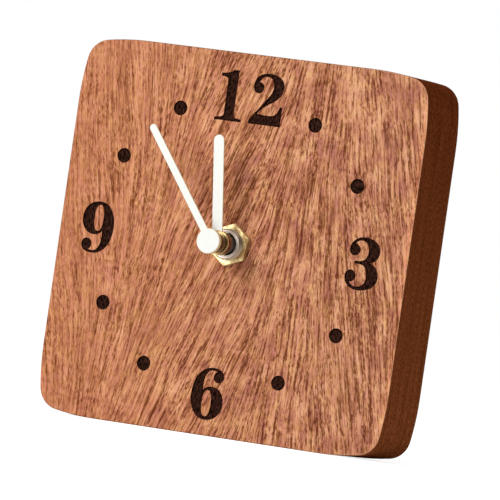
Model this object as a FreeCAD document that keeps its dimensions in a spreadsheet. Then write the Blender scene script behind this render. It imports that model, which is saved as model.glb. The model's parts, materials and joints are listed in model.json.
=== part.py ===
import FreeCAD, Part
import math
import os
import re
import Sketcher

# Small wooden desk clock: a solid block with an engraved dial, and a battery quartz
# movement let into its back and held by a hexagon nut on the front.
# Row frame: +X to the right of the dial, +Z up, the dial faces -Y. The origin is the
# centre of the block's base. Millimetres and degrees.

doc = FreeCAD.newDocument("desk_clock")

# ---------------------------------------------------------------- driving dimensions
DIMENSIONS = [
    # the wooden block
    ("block_side", 100.0),  # square face, side to side
    ("block_depth", 21.0),
    ("corner_radius", 6.2),  # the tight middle of each sanded corner
    ("corner_blend_radius", 70.0),  # the long arc that leads from a side into a corner
    ("corner_blend_angle", 9.5),  # how far that long arc turns
    ("edge_round", 0.4),
    ("front_wall", 4.0),  # wood left in front of the movement
    ("recess_gap", 1.0),  # between the movement and the walls of its recess
    ("recess_corner", 3.0),
    ("bush_hole_gap", 0.25),
    # the dial
    ("dial_shift", -0.73),  # the dial pattern sits this far to the side of the shaft
    ("dial_radius", 38.87),  # circle of the eight hour dots
    ("dot_diameter", 3.9),
    ("numeral_height", 13.4),
    ("numeral_rise", 38.85),  # centre of 12 and 6 above and below the shaft
    ("numeral_reach", 38.3),  # centre of 3 and 9 to the side
    ("numeral_drop", 0.2),  # the numerals sit this much low
    ("numeral_space", 2.1),  # between the digits of 12
    ("engraving_depth", 0.5),
    # threaded bush, nut and cushion
    ("thread_diameter", 8.0),
    ("thread_pitch", 0.75),
    ("thread_depth", 0.38),
    ("bush_reach", 8.4),  # from the movement's front plate to the end of the bush
    ("bush_mouth", 6.0),  # diameter of the open mouth
    ("bush_mouth_depth", 2.6),
    ("bush_flange", 11.0),
    ("bush_flange_thickness", 0.8),
    ("nut_flats", 9.9),
    ("nut_height", 1.8),
    ("nut_turn", 21.8),
    ("nut_chamfer", 0.35),
    ("washer_diameter", 16.0),
    ("washer_thickness", 0.7),
    ("seat_fit", 0.02),  # radial clearance of pieces seated on each other
    ("running_fit", 0.03),  # radial clearance of pieces that turn on each other
    # hands and their stack on the shaft
    ("hour_pipe_diameter", 5.0),
    ("hour_hand_seat", 13.5),  # from the movement's front plate to the hour hand's back
    ("hour_hand_length", 28.0),
    ("hour_hand_width", 2.9),
    ("hour_eye_diameter", 6.3),
    ("hour_collet_diameter", 6.4),
    ("hour_collet_length", 2.0),
    ("collet_rim", 0.2),  # flange of the hour collet in front of the hand
    ("hand_thickness", 0.4),
    ("hand_round", 0.1),
    ("stack_gap", 0.3),  # end play between the hour and the minute pieces
    ("minute_arbor_diameter", 3.2),
    ("minute_stub_diameter", 2.4),
    ("minute_collet_diameter", 5.5),
    ("minute_collet_length", 3.3),
    ("minute_hand_length", 35.1),
    ("minute_hand_width", 1.96),
    ("minute_eye_diameter", 5.4),
    ("cap_nut_diameter", 6.6),
    ("cap_nut_height", 1.2),
    ("cap_nut_round", 0.35),
    # movement housing
    ("housing_wall", 1.2),
    ("housing_corner", 2.0),
    ("cover_thickness", 1.0),
    ("cover_lip", 0.8),
    ("lip_gap", 0.1),
    ("lip_width", 1.0),
    ("post_diameter", 3.0),
    ("post_left", -13.5),  # the left posts of the bridge, from the shaft
    ("post_high", 18.0),  # the upper posts, from the shaft
    ("post_inset", 3.3),  # the right posts, from the side wall
    ("post_base", 3.0),  # the lower posts, over the wall of the battery bay
    ("bridge_thickness", 0.8),
    ("bridge_headroom", 0.6),  # from the bridge to the rear cover
    ("bridge_margin", 1.5),  # of the bridge beyond the middle of its posts
    ("pivot_diameter", 0.6),
    ("pivot_length", 0.5),
    ("pivot_seat", 0.7),  # depth of the pivot holes in the front plate
    ("pivot_fit", 0.03),
    ("arbor_diameter", 0.7),
    ("arbor_fit", 0.05),
    ("arbor_overhang", 0.1),  # of the minute arbor behind the centre wheel
    ("end_play", 0.2),
    ("motion_post_diameter", 1.2),
    ("motion_collar_diameter", 2.6),
    ("seconds_pivot_diameter", 0.8),
    ("seconds_pivot_depth", 2.0),  # of the hole for it in the minute arbor
    ("hub_diameter", 5.0),
    ("hub_length", 1.2),
    # gears
    ("motion_module", 0.27),
    ("fast_module", 0.22),
    ("seconds_module", 0.32),
    ("wheel_thickness", 0.6),
    ("pinion_length", 1.0),
    ("motion_angle", -15.0),  # directions between axes, anticlockwise from +X
    ("setting_angle", 10.0),
    ("third_angle", 150.0),
    ("intermediate_angle", 60.0),
    ("rotor_angle", 45.0),
    # levels of the gear train, from the front plate's inner face backwards
    ("hour_wheel_level", 1.0),
    ("motion_level", 2.6),
    ("centre_level", 4.3),
    ("third_level", 5.7),
    ("seconds_level", 7.1),
    ("intermediate_level", 8.4),
    # setting knob
    ("knob_diameter", 11.0),
    ("knob_height", 2.6),
    ("knob_gap", 0.3),
    ("knob_notch", 1.2),
    ("knob_round", 0.3),
    ("knob_bore_depth", 2.0),
    ("setting_stem_diameter", 2.4),
    ("setting_journal_diameter", 1.2),
    ("setting_collar_diameter", 3.0),
    ("stem_hole_gap", 0.2),  # round the stem, in the cover
    # step motor
    ("rotor_diameter", 6.2),
    ("rotor_height", 2.8),
    ("rotor_level", 3.4),
    ("rotor_air_gap", 0.5),
    ("stator_thickness", 0.8),
    ("stator_level", 4.4),
    ("stator_rim", 0.6),  # steel left beside the rotor hole
    ("stator_left", -9.0),
    ("stator_right", 16.0),
    ("stator_upright", 4.0),
    ("coil_inset", 4.3),  # centre line of the coil below the top wall
    ("core_width", 2.4),
    ("core_thickness", 1.0),
    ("winding_diameter", 5.2),
    ("bobbin_flange", 6.2),
    ("bobbin_cheek", 0.6),
    ("bobbin_wall", 0.3),
    ("bobbin_space", 0.6),  # between a stator upright and the bobbin's cheek
    # circuit board
    ("board_width", 8.6),
    ("board_height", 24.0),
    ("board_thickness", 0.8),
    ("board_level", 5.6),
    ("board_gap", 0.6),  # from the side wall
    ("board_base", 3.0),  # of its lower edge over the wall of the battery bay
    ("board_edge", 2.6),  # of the two posts from the ends of the board
    ("board_post_diameter", 2.4),
    ("chip_diameter", 5.0),
    ("chip_height", 1.1),
    ("chip_round", 0.9),
    ("chip_rise", 16.0),  # of its middle over the board's lower edge
    ("crystal_diameter", 2.0),
    ("crystal_length", 6.0),
    ("crystal_round", 0.3),
    ("crystal_rise", 3.0),
    # battery and contacts
    ("battery_diameter", 14.2),
    ("battery_length", 50.5),
    ("battery_tip_diameter", 5.4),
    ("battery_tip_length", 1.3),
    ("battery_round", 0.8),
    ("battery_gap", 0.3),
    ("bay_wall", 1.0),
    ("contact_thickness", 0.4),
    ("contact_width", 9.0),
    ("contact_height", 11.0),
    ("contact_boss_diameter", 4.0),
    ("contact_boss_length", 1.0),
    ("contact_gap", 0.15),
]

# Tooth counts of the meshing pairs.
TEETH = {
    "cannon": 15,
    "motion_wheel": 45,
    "motion_pinion": 10,
    "hour_wheel": 40,
    "setting": 15,
    "rotor": 8,
    "intermediate_wheel": 60,
    "intermediate_pinion": 10,
    "seconds_wheel": 40,
    "seconds_pinion": 8,
    "third_wheel": 60,
    "third_pinion": 8,
    "centre_wheel": 64,
}
KNOB_NOTCHES = 18
DOT_HOURS = (1, 2, 4, 5, 7, 8, 10, 11)
DEGREES_PER_HOUR = 30.0

# The dial reads six minutes to twelve.
MINUTE_HAND_TURN = 37.2
HOUR_HAND_TURN = 7.8

sheet = doc.addObject("Spreadsheet::Sheet", "dims")
for row, (name, number) in enumerate(DIMENSIONS, start=1):
    sheet.set(f"A{row}", name)
    sheet.set(f"B{row}", str(number))
    sheet.setAlias(f"B{row}", name)
doc.recompute()

NAMES = re.compile(r"\b(" + "|".join(name for name, _ in DIMENSIONS) + r")\b")


def bind(text):
    """The expression that FreeCAD reads: each dimension's name points at its sheet cell."""
    return NAMES.sub(r"dims.\1", text)


def value(text):
    """The number that an expression of dimension names stands for now."""
    return float(sheet.evalExpression(bind(text)))


# ---------------------------------------------------------------- shared places
FACE = "(-block_depth / 2)"  # Y of the block's front face
SEAT = f"({FACE} + front_wall + washer_thickness)"  # Y of the movement's front plate
FLOOR = f"({SEAT} + housing_wall)"  # Y of that plate's inner face
AXIS = "(block_side / 2)"  # Z of the hand shaft

ORIGIN = FreeCAD.Vector(0, 0, 0)
FORWARD = FreeCAD.Vector(0, 0, 1)  # in a piece's own frame, out of the dial
UNTURNED = FreeCAD.Rotation()
FACING = FreeCAD.Rotation(FreeCAD.Vector(1, 0, 0), 90)  # turns that frame to face -Y
BACKWARD = FreeCAD.Rotation(FreeCAD.Vector(1, 0, 0), -90)  # turns it to face +Y
SIDEWAYS = FreeCAD.Rotation(FreeCAD.Vector(0, 1, 0), 90)  # turns it to face +X
INWARD = FreeCAD.Rotation(FreeCAD.Vector(0, 1, 0), -90)  # turns it to face -X
SAME_POINT = 1e-4  # closer than this, two places are one

# Reaches are measured forwards from the movement's front plate.
PIPE_REACH = "(hour_hand_seat + hand_thickness + 2 * collet_rim)"
MINUTE_COLLET_BACK = f"({PIPE_REACH} + stack_gap)"
MINUTE_HAND_SEAT = f"({MINUTE_COLLET_BACK} + minute_collet_length)"
CAP_BACK = f"({MINUTE_HAND_SEAT} + hand_thickness)"
HOUR_COLLET_NECK = "(hour_collet_diameter - 4 * collet_rim)"  # its diameter inside the hand
STUB_ROOM = "(cap_nut_height * 0.6)"  # how deep the cap nut's bore is

# Levels are measured backwards from that plate's inner face.
MOTION_PINION_LEVEL = "(hour_wheel_level - end_play)"
CANNON_LEVEL = "(motion_level - (pinion_length - wheel_thickness) / 2)"
HUB_LEVEL = "(centre_level - (hub_length - wheel_thickness) / 2)"
MINUTE_ARBOR_END = f"({HUB_LEVEL} + hub_length + arbor_overhang)"
THIRD_PINION_LEVEL = "(centre_level - (pinion_length - wheel_thickness) / 2)"
SECONDS_PINION_LEVEL = "(third_level - (pinion_length - wheel_thickness) / 2)"
INTERMEDIATE_PINION_LEVEL = "(seconds_level - (pinion_length - wheel_thickness) / 2)"
ROTOR_PINION_LEVEL = "(intermediate_level - (pinion_length - wheel_thickness) / 2)"
BRIDGE_LEVEL = f"({ROTOR_PINION_LEVEL} + pinion_length + end_play)"
ARBOR_END = f"({BRIDGE_LEVEL} + pivot_length)"
COVER_LEVEL = f"({BRIDGE_LEVEL} + bridge_thickness + bridge_headroom)"

# The housing is as large as the cell with its contacts needs. Places in it are to the side
# of the shaft and above it.
HALF = "(battery_length / 2 + contact_gap + contact_boss_length + contact_thickness + housing_wall)"
INSIDE = f"({HALF} - housing_wall)"
BAY_TOP = f"(-{INSIDE} + battery_diameter + 2 * battery_gap)"
GEAR_BOTTOM = f"({BAY_TOP} + bay_wall)"
GEAR_CASE_DEPTH = f"(housing_wall + {COVER_LEVEL})"
HOUSING_DEPTH = "(housing_wall + battery_diameter + 2 * battery_gap)"
POST_RIGHT = f"({INSIDE} - post_inset)"
POST_LOW = f"({GEAR_BOTTOM} + post_base)"
COIL_HEIGHT = f"({INSIDE} - coil_inset)"
BOARD_LEFT = f"(-{INSIDE} + board_gap)"
BOARD_BOTTOM = f"({GEAR_BOTTOM} + board_base)"

# Where the arbors stand, to the side of the shaft and above it.
MOTION_PITCH = f"(motion_module * {(TEETH['cannon'] + TEETH['motion_wheel']) / 2})"
HOUR_MODULE = f"({MOTION_PITCH} / {(TEETH['motion_pinion'] + TEETH['hour_wheel']) / 2})"
SETTING_PITCH = f"(motion_module * {(TEETH['motion_wheel'] + TEETH['setting']) / 2})"
THIRD_PITCH = f"(fast_module * {(TEETH['seconds_pinion'] + TEETH['third_wheel']) / 2})"
CENTRE_MODULE = f"({THIRD_PITCH} / {(TEETH['third_pinion'] + TEETH['centre_wheel']) / 2})"
SECONDS_PITCH = f"(seconds_module * {(TEETH['intermediate_pinion'] + TEETH['seconds_wheel']) / 2})"
ROTOR_PITCH = f"(fast_module * {(TEETH['rotor'] + TEETH['intermediate_wheel']) / 2})"


def beside(start, pitch, angle):
    """The axis that lies at a pitch and an angle from another axis."""
    return (f"({start[0]} + {pitch} * cos({angle}))", f"({start[1]} + {pitch} * sin({angle}))")


CENTRE = ("0", "0")
MOTION = beside(CENTRE, MOTION_PITCH, "motion_angle")
SETTING = beside(MOTION, SETTING_PITCH, "setting_angle")
THIRD = beside(CENTRE, THIRD_PITCH, "third_angle")
INTERMEDIATE = beside(CENTRE, SECONDS_PITCH, "intermediate_angle")
ROTOR = beside(INTERMEDIATE, ROTOR_PITCH, "rotor_angle")


# ---------------------------------------------------------------- modelling helpers
def place(piece, x="0", y="0", z="0", rotation=FACING):
    """Puts a piece where three expressions say."""
    piece.Placement = FreeCAD.Placement(ORIGIN, rotation)
    for axis, text in zip("xyz", (x, y, z)):
        if text != "0":
            piece.setExpression(f"Placement.Base.{axis}", bind(text))
    return piece


def on_shaft(piece, y, turn=0.0):
    """Puts a piece on the hand shaft's axis, turned anticlockwise as the dial shows it."""
    return place(piece, "0", y, AXIS, FACING * FreeCAD.Rotation(FORWARD, turn))


def on_axis(piece, axis, y):
    """Puts a piece on one of the movement's axes."""
    return place(piece, axis[0], y, f"{AXIS} + {axis[1]}")


def body(label):
    piece = doc.addObject("PartDesign::Body", label)
    piece.Label = label
    return piece


def sketch(piece, name, plane="XY_Plane", height="0"):
    """A sketch on one of the body's own origin planes, at a height over it."""
    drawing = piece.newObject("Sketcher::SketchObject", f"{piece.Label}_{name}")
    support = [f for f in piece.Origin.OriginFeatures if f.Role == plane][0]
    drawing.AttachmentSupport = (support, [""])
    drawing.MapMode = "FlatFace"
    if height != "0":
        drawing.setExpression("AttachmentOffset.Base.z", bind(height))
    return drawing


def near(a, b):
    return abs(a - b) < SAME_POINT


def measure(drawing, text, *kind_and_ends):
    """A measured constraint in a sketch, driven by an expression."""
    index = drawing.addConstraint(Sketcher.Constraint(*kind_and_ends, value(text)))
    drawing.setExpression(f"Constraints[{index}]", bind(text))


def pin_point(drawing, element, vertex, x, y):
    """Fixes one vertex of a sketch at two expressions."""
    if x == "0" and y == "0":
        drawing.addConstraint(Sketcher.Constraint("Coincident", element, vertex, -1, 1))
        return
    for kind, text, line in (("DistanceX", x, -2), ("DistanceY", y, -1)):
        if near(value(text), 0):
            drawing.addConstraint(Sketcher.Constraint("PointOnObject", element, vertex, line))
        else:
            measure(drawing, text, kind, -1, 1, element, vertex)


def polygon(drawing, corners):
    """A closed outline whose corners are pairs of expressions."""
    first = drawing.GeometryCount
    spots = [FreeCAD.Vector(value(x), value(y), 0) for x, y in corners]
    count = len(spots)
    for i in range(count):
        drawing.addGeometry(Part.LineSegment(spots[i], spots[(i + 1) % count]), False)
    for i in range(count):
        follows = first + (i + 1) % count
        drawing.addConstraint(Sketcher.Constraint("Coincident", first + i, 2, follows, 1))
    for i, (x, y) in enumerate(corners):
        pin_point(drawing, first + i, 1, x, y)
    return drawing


def rectangle(drawing, left, bottom, right, top):
    return polygon(drawing, [(left, bottom), (right, bottom), (right, top), (left, top)])


def circle(drawing, diameter, x="0", y="0"):
    spot = FreeCAD.Vector(value(x), value(y), 0)
    ring = Part.Circle(spot, FORWARD, value(diameter) / 2)
    element = drawing.addGeometry(ring, False)
    measure(drawing, diameter, "Diameter", element)
    pin_point(drawing, element, 3, x, y)
    return drawing


def pad(piece, drawing, length, backwards=False):
    feature = piece.newObject("PartDesign::Pad", drawing.Label + "_pad")
    feature.Profile = drawing
    feature.Reversed = backwards
    feature.setExpression("Length", bind(length))
    return feature


def pocket(piece, drawing, length, forwards=False):
    """Cuts backwards from the sketch, or forwards, and makes sure that it removes material."""
    doc.recompute()
    before = piece.Shape.Volume
    feature = piece.newObject("PartDesign::Pocket", drawing.Label + "_pocket")
    feature.Profile = drawing
    feature.Reversed = forwards
    feature.setExpression("Length", bind(length))
    doc.recompute()
    if piece.Shape.Volume >= before:
        raise RuntimeError(f"{drawing.Label} cuts nothing")
    return feature


def revolve(piece, drawing, kind="Revolution"):
    """Turns a profile about the piece's own forward axis, to add it or as a groove."""
    feature = piece.newObject(f"PartDesign::{kind}", f"{drawing.Label}_turned")
    feature.Profile = drawing
    feature.ReferenceAxis = (drawing, ["V_Axis"])
    feature.Angle = 360
    return feature


def turned(label, corners):
    """A body of revolution from the corners of its half section: radius, height."""
    piece = body(label)
    revolve(piece, polygon(sketch(piece, "section", "XZ_Plane"), corners))
    return piece


def soften(piece, radius, test):
    """Rounds the edges of a body that pass a test."""
    doc.recompute()
    base = piece.Tip
    feature = piece.newObject("PartDesign::Fillet", f"{piece.Label}_{radius}")
    feature.Base = (base, [f"Edge{number}" for number in edges_where(base.Shape, test)])
    feature.setExpression("Radius", bind(radius))


def at_corners(xs, ys):
    """The test for the edges that stand on the corners of a plate."""
    sides, ends = [value(x) for x in xs], [value(y) for y in ys]
    return lambda p: any(near(p.x, x) for x in sides) and any(near(p.y, y) for y in ends)


def tube(label, outer, inner, back, front):
    """A plain ring between two heights on its own axis."""
    radius, bore = f"{outer} / 2", f"{inner} / 2"
    return turned(label, [(bore, back), (radius, back), (radius, front), (bore, front)])


def box(name, low, high):
    """A box between two corners, each three expressions in the row frame."""
    solid = doc.addObject("Part::Box", name)
    for side, a, b in zip(("Length", "Width", "Height"), low, high):
        solid.setExpression(side, bind(f"({b}) - ({a})"))
    return place(solid, *low, rotation=FreeCAD.Rotation())


def bar(name, diameter, x, start, end, z):
    """A cylinder along the depth of the clock, from one Y to another."""
    solid = doc.addObject("Part::Cylinder", name)
    solid.setExpression("Radius", bind(f"{diameter} / 2"))
    solid.setExpression("Height", bind(f"({end}) - ({start})"))
    return place(solid, x, start, z, FreeCAD.Rotation(FreeCAD.Vector(1, 0, 0), -90))


def fused(name, pieces):
    joined = doc.addObject("Part::MultiFuse", name)
    joined.Shapes = pieces
    joined.Label = name
    return joined


def cut(name, base, tool):
    result = doc.addObject("Part::Cut", name)
    result.Base = base
    result.Tool = tool
    result.Label = name
    return result


def drawn(name, shape):
    """A piece whose outline comes from a formula."""
    piece = doc.addObject("Part::Feature", name)
    piece.Label = name
    piece.Shape = shape
    return piece


def edges_where(shape, test):
    """Numbers of the edges whose two ends and middle all pass a test."""
    found = []
    for number, edge in enumerate(shape.Edges, start=1):
        middle = edge.valueAt((edge.FirstParameter + edge.LastParameter) / 2)
        if all(test(point) for point in [v.Point for v in edge.Vertexes] + [middle]):
            found.append(number)
    return found


def rounded(name, base, radius, test):
    """Rounds the edges of a solid that pass a test."""
    doc.recompute()
    feature = doc.addObject("Part::Fillet", name)
    feature.Base = base
    size = value(radius)
    feature.Edges = [(number, size, size) for number in edges_where(base.Shape, test)]
    feature.Label = name
    return feature


# ---------------------------------------------------------------- numerals
# Each digit is one outline or more, in millimetres at the nominal height: a start point,
# then straight lines (2 numbers), arcs through a point (4) and cubic curves (6).
NOMINAL_HEIGHT = 13.4
DIGIT_ONE = [
    [(0, 0), (7.7, 0), (7.7, 0.75), (6.2, 0.8, 5.45, 1.0, 5.45, 1.9), (5.45, 13.4), (4.1, 13.4),
     (3.2, 12.6, 1.8, 12.35, 0.5, 12.3), (0.5, 11.5), (2.0, 11.45, 2.55, 11.2, 2.55, 10.2),
     (2.55, 1.9), (2.55, 1.0, 1.6, 0.8, 0, 0.75), (0, 0)],
]
DIGIT_TWO = [
    [(0.32, 9.58), (0.1, 11.6, 1.3, 13.5, 4.6, 13.5), (7.2, 13.5, 8.98, 12.2, 8.98, 10.1),
     (8.98, 7.6, 6.8, 6.4, 4.55, 5.05), (3.7, 4.55, 2.8, 3.6, 2.28, 2.75),
     (3.5, 2.65, 4.8, 2.6, 5.6, 2.6), (7.4, 2.6, 8.2, 3.4, 8.4, 5.15), (9.2, 5.15), (9.2, 0),
     (0.1, 0), (0, 0.7), (1.0, 2.6, 2.9, 4.4, 4.3, 6.6), (5.3, 7.8, 5.98, 8.8, 5.98, 10.1),
     (5.98, 11.7, 5.1, 12.6, 3.9, 12.6), (2.9, 12.6, 2.2, 12.1, 1.8, 11.06),
     (3.28, 9.58, 1.8, 8.1), (0.75, 8.53, 0.32, 9.58)],
]
DIGIT_THREE = [
    [(0.54, 10.33), (0.45, 12.2, 2.2, 13.8, 4.4, 13.8), (7.2, 13.8, 9.1, 12.4, 9.1, 10.4),
     (9.1, 8.6, 8.0, 7.6, 6.75, 7.33), (8.4, 6.8, 9.4, 5.4, 9.4, 3.8), (9.4, 1.5, 7.2, 0, 4.2, 0),
     (1.7, 0, 0.08, 1.5, 0.08, 3.58), (1.63, 5.13, 3.18, 3.58), (2.73, 2.48, 1.63, 2.03),
     (2.0, 1.3, 2.7, 0.95, 3.5, 0.95), (5.2, 0.95, 6.06, 2.0, 6.06, 3.7),
     (6.06, 5.6, 5.2, 6.75, 3.6, 6.8), (2.7, 6.8), (2.33, 7.17, 2.7, 7.54), (3.6, 7.54),
     (5.1, 7.7, 5.9, 8.7, 5.9, 10.2), (5.9, 11.9, 5.0, 12.85, 3.7, 12.85),
     (2.9, 12.85, 2.3, 12.5, 2.04, 11.83), (3.54, 10.33, 2.04, 8.83), (0.98, 9.27, 0.54, 10.33)],
]
DIGIT_SIX = [
    [(8.77, 11.36), (8.77, 12.9, 7.4, 13.64, 5.5, 13.64), (1.9, 13.64, 0, 10.3, 0, 6.4),
     (0, 2.6, 1.9, 0, 4.75, 0), (7.5, 0, 9.35, 1.9, 9.35, 4.6), (9.35, 7.1, 7.7, 8.75, 5.6, 8.75),
     (4.5, 8.75, 3.7, 8.35, 3.3, 7.7), (2.9, 10.6, 3.7, 12.95, 5.5, 12.95),
     (6.0, 12.95, 6.4, 12.85, 6.64, 12.72), (5.77, 11.36, 7.27, 9.86), (8.33, 10.3, 8.77, 11.36)],
    [(4.64, 7.74), (5.6, 7.74, 5.94, 6.2, 5.94, 4.32), (5.94, 2.4, 5.6, 0.9, 4.64, 0.9),
     (3.68, 0.9, 3.34, 2.4, 3.34, 4.32), (3.34, 6.2, 3.68, 7.74, 4.64, 7.74)],
]


def outline(steps):
    """One closed wire from a digit's list of steps."""
    here = FreeCAD.Vector(*steps[0], 0)
    edges = []
    for step in steps[1:]:
        points = [FreeCAD.Vector(step[i], step[i + 1], 0) for i in range(0, len(step), 2)]
        if len(points) == 1:
            edges.append(Part.makeLine(here, points[0]))
        elif len(points) == 2:
            edges.append(Part.Arc(here, *points).toShape())
        else:
            curve = Part.BezierCurve()
            curve.setPoles([here] + points)
            edges.append(curve.toShape())
        here = points[-1]
    return Part.Wire(edges)


def digit_face(digit):
    """The flat shape of one digit, counters left open, with its low left corner at 0, 0."""
    wires = [outline(steps) for steps in digit]
    face = Part.Face(wires[0])
    for counter in wires[1:]:
        face = face.cut(Part.Face(counter))
    return face


def numeral(digits, turned_over=False):
    """Digits set side by side at the numeral height, centred on their own middle."""
    scale = value("numeral_height") / NOMINAL_HEIGHT
    grow = FreeCAD.Matrix()
    grow.scale(scale, scale, 1)
    faces, left = [], 0.0
    for digit in digits:
        face = digit_face(digit).transformGeometry(grow)
        face.translate(FreeCAD.Vector(left, 0, 0))
        left = face.optimalBoundingBox(False).XMax + value("numeral_space")
        faces.append(face)
    middle = Part.makeCompound(faces).optimalBoundingBox(False).Center
    for face in faces:
        face.translate(middle * -1)
        face.rotate(ORIGIN, FORWARD, 180 if turned_over else 0)
    return Part.makeCompound(faces)


# ---------------------------------------------------------------- case block
def corner_outline():
    """The block's face outline: four sides led by long arcs into tight sanded corners."""
    half = value("block_side") / 2
    tight, long = value("corner_radius"), value("corner_blend_radius")
    turn = math.radians(value("corner_blend_angle"))
    middle = half - long + (long - tight) * math.cos(turn)
    start = middle - (long - tight) * math.sin(turn)

    def on_long(angle):
        return start + long * math.sin(angle), half - long + long * math.cos(angle)

    def on_tight(angle):
        return middle + tight * math.sin(angle), middle + tight * math.cos(angle)

    quarter = [
        (on_long(0), on_long(turn / 2), on_long(turn)),
        (on_tight(turn), on_tight(math.pi / 4), on_tight(math.pi / 2 - turn)),
        (on_long(turn)[::-1], on_long(turn / 2)[::-1], on_long(0)[::-1]),
    ]
    edges, last, first = [], None, None
    for k in range(4):
        spin = FreeCAD.Rotation(FORWARD, -90 * k)
        for arc in quarter:
            points = [spin.multVec(FreeCAD.Vector(x, y, 0)) for x, y in arc]
            if first is None:
                first = points[0]
            elif last.distanceToPoint(points[0]) > SAME_POINT:
                edges.append(Part.makeLine(last, points[0]))
            edges.append(Part.Arc(*points).toShape())
            last = points[-1]
    edges.append(Part.makeLine(last, first))
    return Part.Face(Part.Wire(edges))


def extruded(name, profile, depth, y):
    """Pushes a flat profile, drawn as the dial shows it, backwards into the clock."""
    solid = doc.addObject("Part::Extrusion", name)
    solid.Base = profile
    solid.DirMode = "Custom"
    solid.Dir = FreeCAD.Vector(0, 1, 0)
    solid.setExpression("LengthFwd", bind(depth))
    solid.Solid = True
    return place(solid, "0", y, "0", FreeCAD.Rotation())


def recess():
    """The square pocket in the back that takes the movement."""
    reach = f"({HALF} + recess_gap)"
    low = (f"-{reach}", f"{FACE} + front_wall", f"{AXIS} - {reach}")
    high = (reach, "block_depth / 2 + edge_round", f"{AXIS} + {reach}")
    room = box("recess_room", low, high)
    limit = value(reach)

    def upright(point):
        return near(abs(point.x), limit) and near(abs(point.z - value(AXIS)), limit)

    return rounded("recess_rounded", room, "recess_corner", upright)


def case_block():
    face = on_shaft(drawn("case_outline", corner_outline()), "0")
    raw = extruded("case_raw", face, "block_depth", FACE)
    ends = [value(FACE), -value(FACE)]
    whole = rounded("case_sanded", raw, "edge_round", lambda p: near(p.y, ends[0]) or near(p.y, ends[1]))
    before, skin = f"{FACE} - engraving_depth", f"{FACE} + engraving_depth"
    bore = bar("bush_hole", "(thread_diameter + 2 * bush_hole_gap)", "0", before, "0", AXIS)
    cutters = [recess(), bore]
    for hour in DOT_HOURS:
        angle = DEGREES_PER_HOUR * hour
        x = f"dial_shift + dial_radius * sin({angle})"
        z = f"{AXIS} + dial_radius * cos({angle})"
        cutters.append(bar(f"dot_{hour}", "dot_diameter", x, before, skin, z))
    numerals = [
        ("twelve", numeral([DIGIT_ONE, DIGIT_TWO]), "0", "numeral_rise"),
        ("three", numeral([DIGIT_THREE]), "numeral_reach", "0"),
        ("six", numeral([DIGIT_SIX]), "0", "-numeral_rise"),
        ("nine", numeral([DIGIT_SIX], turned_over=True), "-numeral_reach", "0"),
    ]
    for name, shape, x, z in numerals:
        z = f"{AXIS} - numeral_drop + {z}"
        flat = place(drawn(f"{name}_outline", shape), f"dial_shift + {x}", "0", z)
        cutters.append(extruded(f"{name}_cut", flat, "2 * engraving_depth", before))
    return cut("case_block", whole, fused("case_cutters", cutters))


# ---------------------------------------------------------------- bush, nut, cushion
def threaded_bush():
    """A flanged tube, threaded outside, with a running bore for the hour pipe."""
    radius, mouth = "thread_diameter / 2", "bush_mouth / 2"
    bore = "hour_pipe_diameter / 2 + running_fit"
    shoulder = "bush_reach - bush_mouth_depth"
    flange = "-housing_wall - bush_flange_thickness"
    piece = turned("threaded_bush", [
        (bore, flange), ("bush_flange / 2", flange), ("bush_flange / 2", "-housing_wall"),
        (radius, "-housing_wall"), (radius, "bush_reach - thread_depth / 2"),
        (f"{radius} - thread_depth / 2", "bush_reach"), (mouth, "bush_reach"),
        (mouth, shoulder), (bore, shoulder),
    ])
    depth, half = "thread_depth", "thread_pitch * 0.45"
    first = "bush_reach - thread_pitch"
    drawing = sketch(piece, "thread", "XZ_Plane")
    polygon(drawing, [
        (f"{radius} - {depth}", first), (f"{radius} + {depth} * 0.1", f"{first} - {half}"),
        (f"{radius} + {depth} * 0.1", f"{first} + {half}"),
    ])
    groove = revolve(piece, drawing, "Groove")
    doc.recompute()
    rows = piece.newObject("PartDesign::LinearPattern", "thread_rows")
    rows.Originals = [groove]
    rows.Direction = (drawing, ["V_Axis"])
    rows.Reversed = True
    threaded = value("bush_reach - 2 * thread_pitch")
    count = int(threaded / value("thread_pitch")) + 1
    rows.Occurrences = count
    rows.setExpression("Length", bind(f"thread_pitch * {count - 1}"))
    piece.Tip = rows
    return on_shaft(piece, SEAT)


def hex_nut():
    """The nut that pulls the movement against the wood, with both faces chamfered."""
    piece = body("hex_nut")
    corner = f"(nut_flats / 2 / cos({DEGREES_PER_HOUR}))"
    drawing = sketch(piece, "hexagon")
    turns = [f"{60 * k}" for k in range(6)]
    polygon(drawing, [(f"{corner} * cos({a})", f"{corner} * sin({a})") for a in turns])
    circle(drawing, "(thread_diameter + 2 * seat_fit)")
    pad(piece, drawing, "nut_height")
    outer = f"({corner} + nut_chamfer)"
    for name, flat, inside in (("front", "nut_height", "-nut_chamfer"), ("back", "0", "nut_chamfer")):
        drawing = sketch(piece, name, "XZ_Plane")
        start = "nut_flats / 2 - nut_chamfer / 2"
        polygon(drawing, [(start, flat), (outer, flat), (outer, f"{flat} + {inside} * 1.6")])
        revolve(piece, drawing, "Groove")
        doc.recompute()
    return on_shaft(piece, FACE, value("nut_turn"))


def cushion_washer():
    hole = "(thread_diameter + 2 * bush_hole_gap)"
    piece = tube("cushion_washer", "washer_diameter", hole, "0", "washer_thickness")
    return on_shaft(piece, SEAT)


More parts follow.
